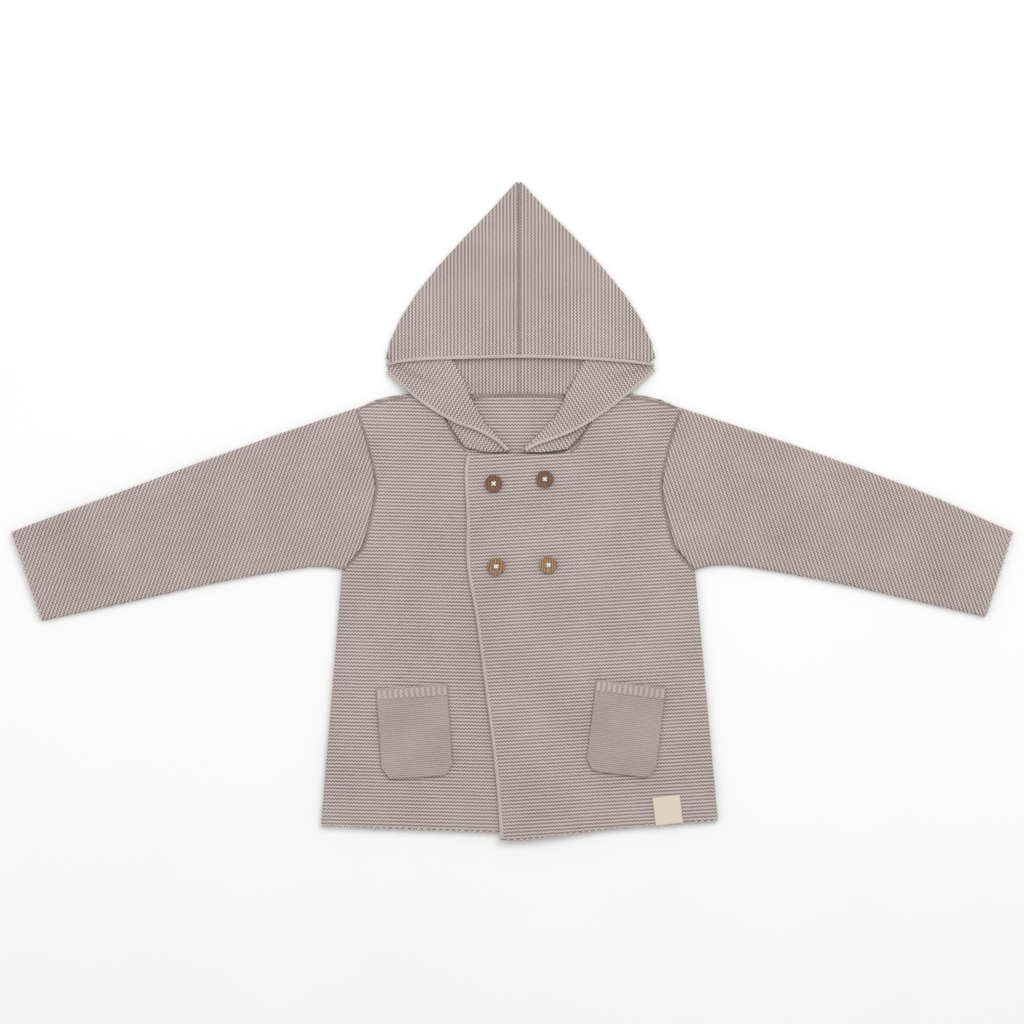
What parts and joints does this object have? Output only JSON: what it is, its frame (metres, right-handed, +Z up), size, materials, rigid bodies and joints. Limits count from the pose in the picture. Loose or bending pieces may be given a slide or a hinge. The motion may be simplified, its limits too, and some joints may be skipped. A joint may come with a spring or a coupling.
{
  "type": "baby's hooded knit cardigan",
  "caption": "Baby's hooded double-breasted cardigan in garter stitch, laid flat, with two patch pockets and a buttoned lap.",
  "frame": {"origin": "under the middle of the garment's box, on the surface it lies on", "axes": "+X across the chest towards the wearer's left sleeve, +Y from the hem to the tip of the hood, +Z up off the surface"},
  "size_m": [0.7996, 0.526, 0.0107],
  "materials": {
    "knit": "garter stitch in a greige melange yarn",
    "jersey": "fine plain knit with a ribbed band",
    "wood": "turned and waxed",
    "label_cloth": "plain cream cotton tape"
  },
  "bodies": {
    "root": {"back": "knit", "front_right": "knit", "front_left": "knit", "sleeve_right": "knit", "sleeve_left": "knit", "hood_right": "knit", "hood_left": "knit", "pocket_right": "jersey", "pocket_left": "jersey", "button_1": "wood", "button_2": "wood", "button_3": "wood", "button_4": "wood", "hem_label": "label_cloth"}
  },
  "joints": []
}
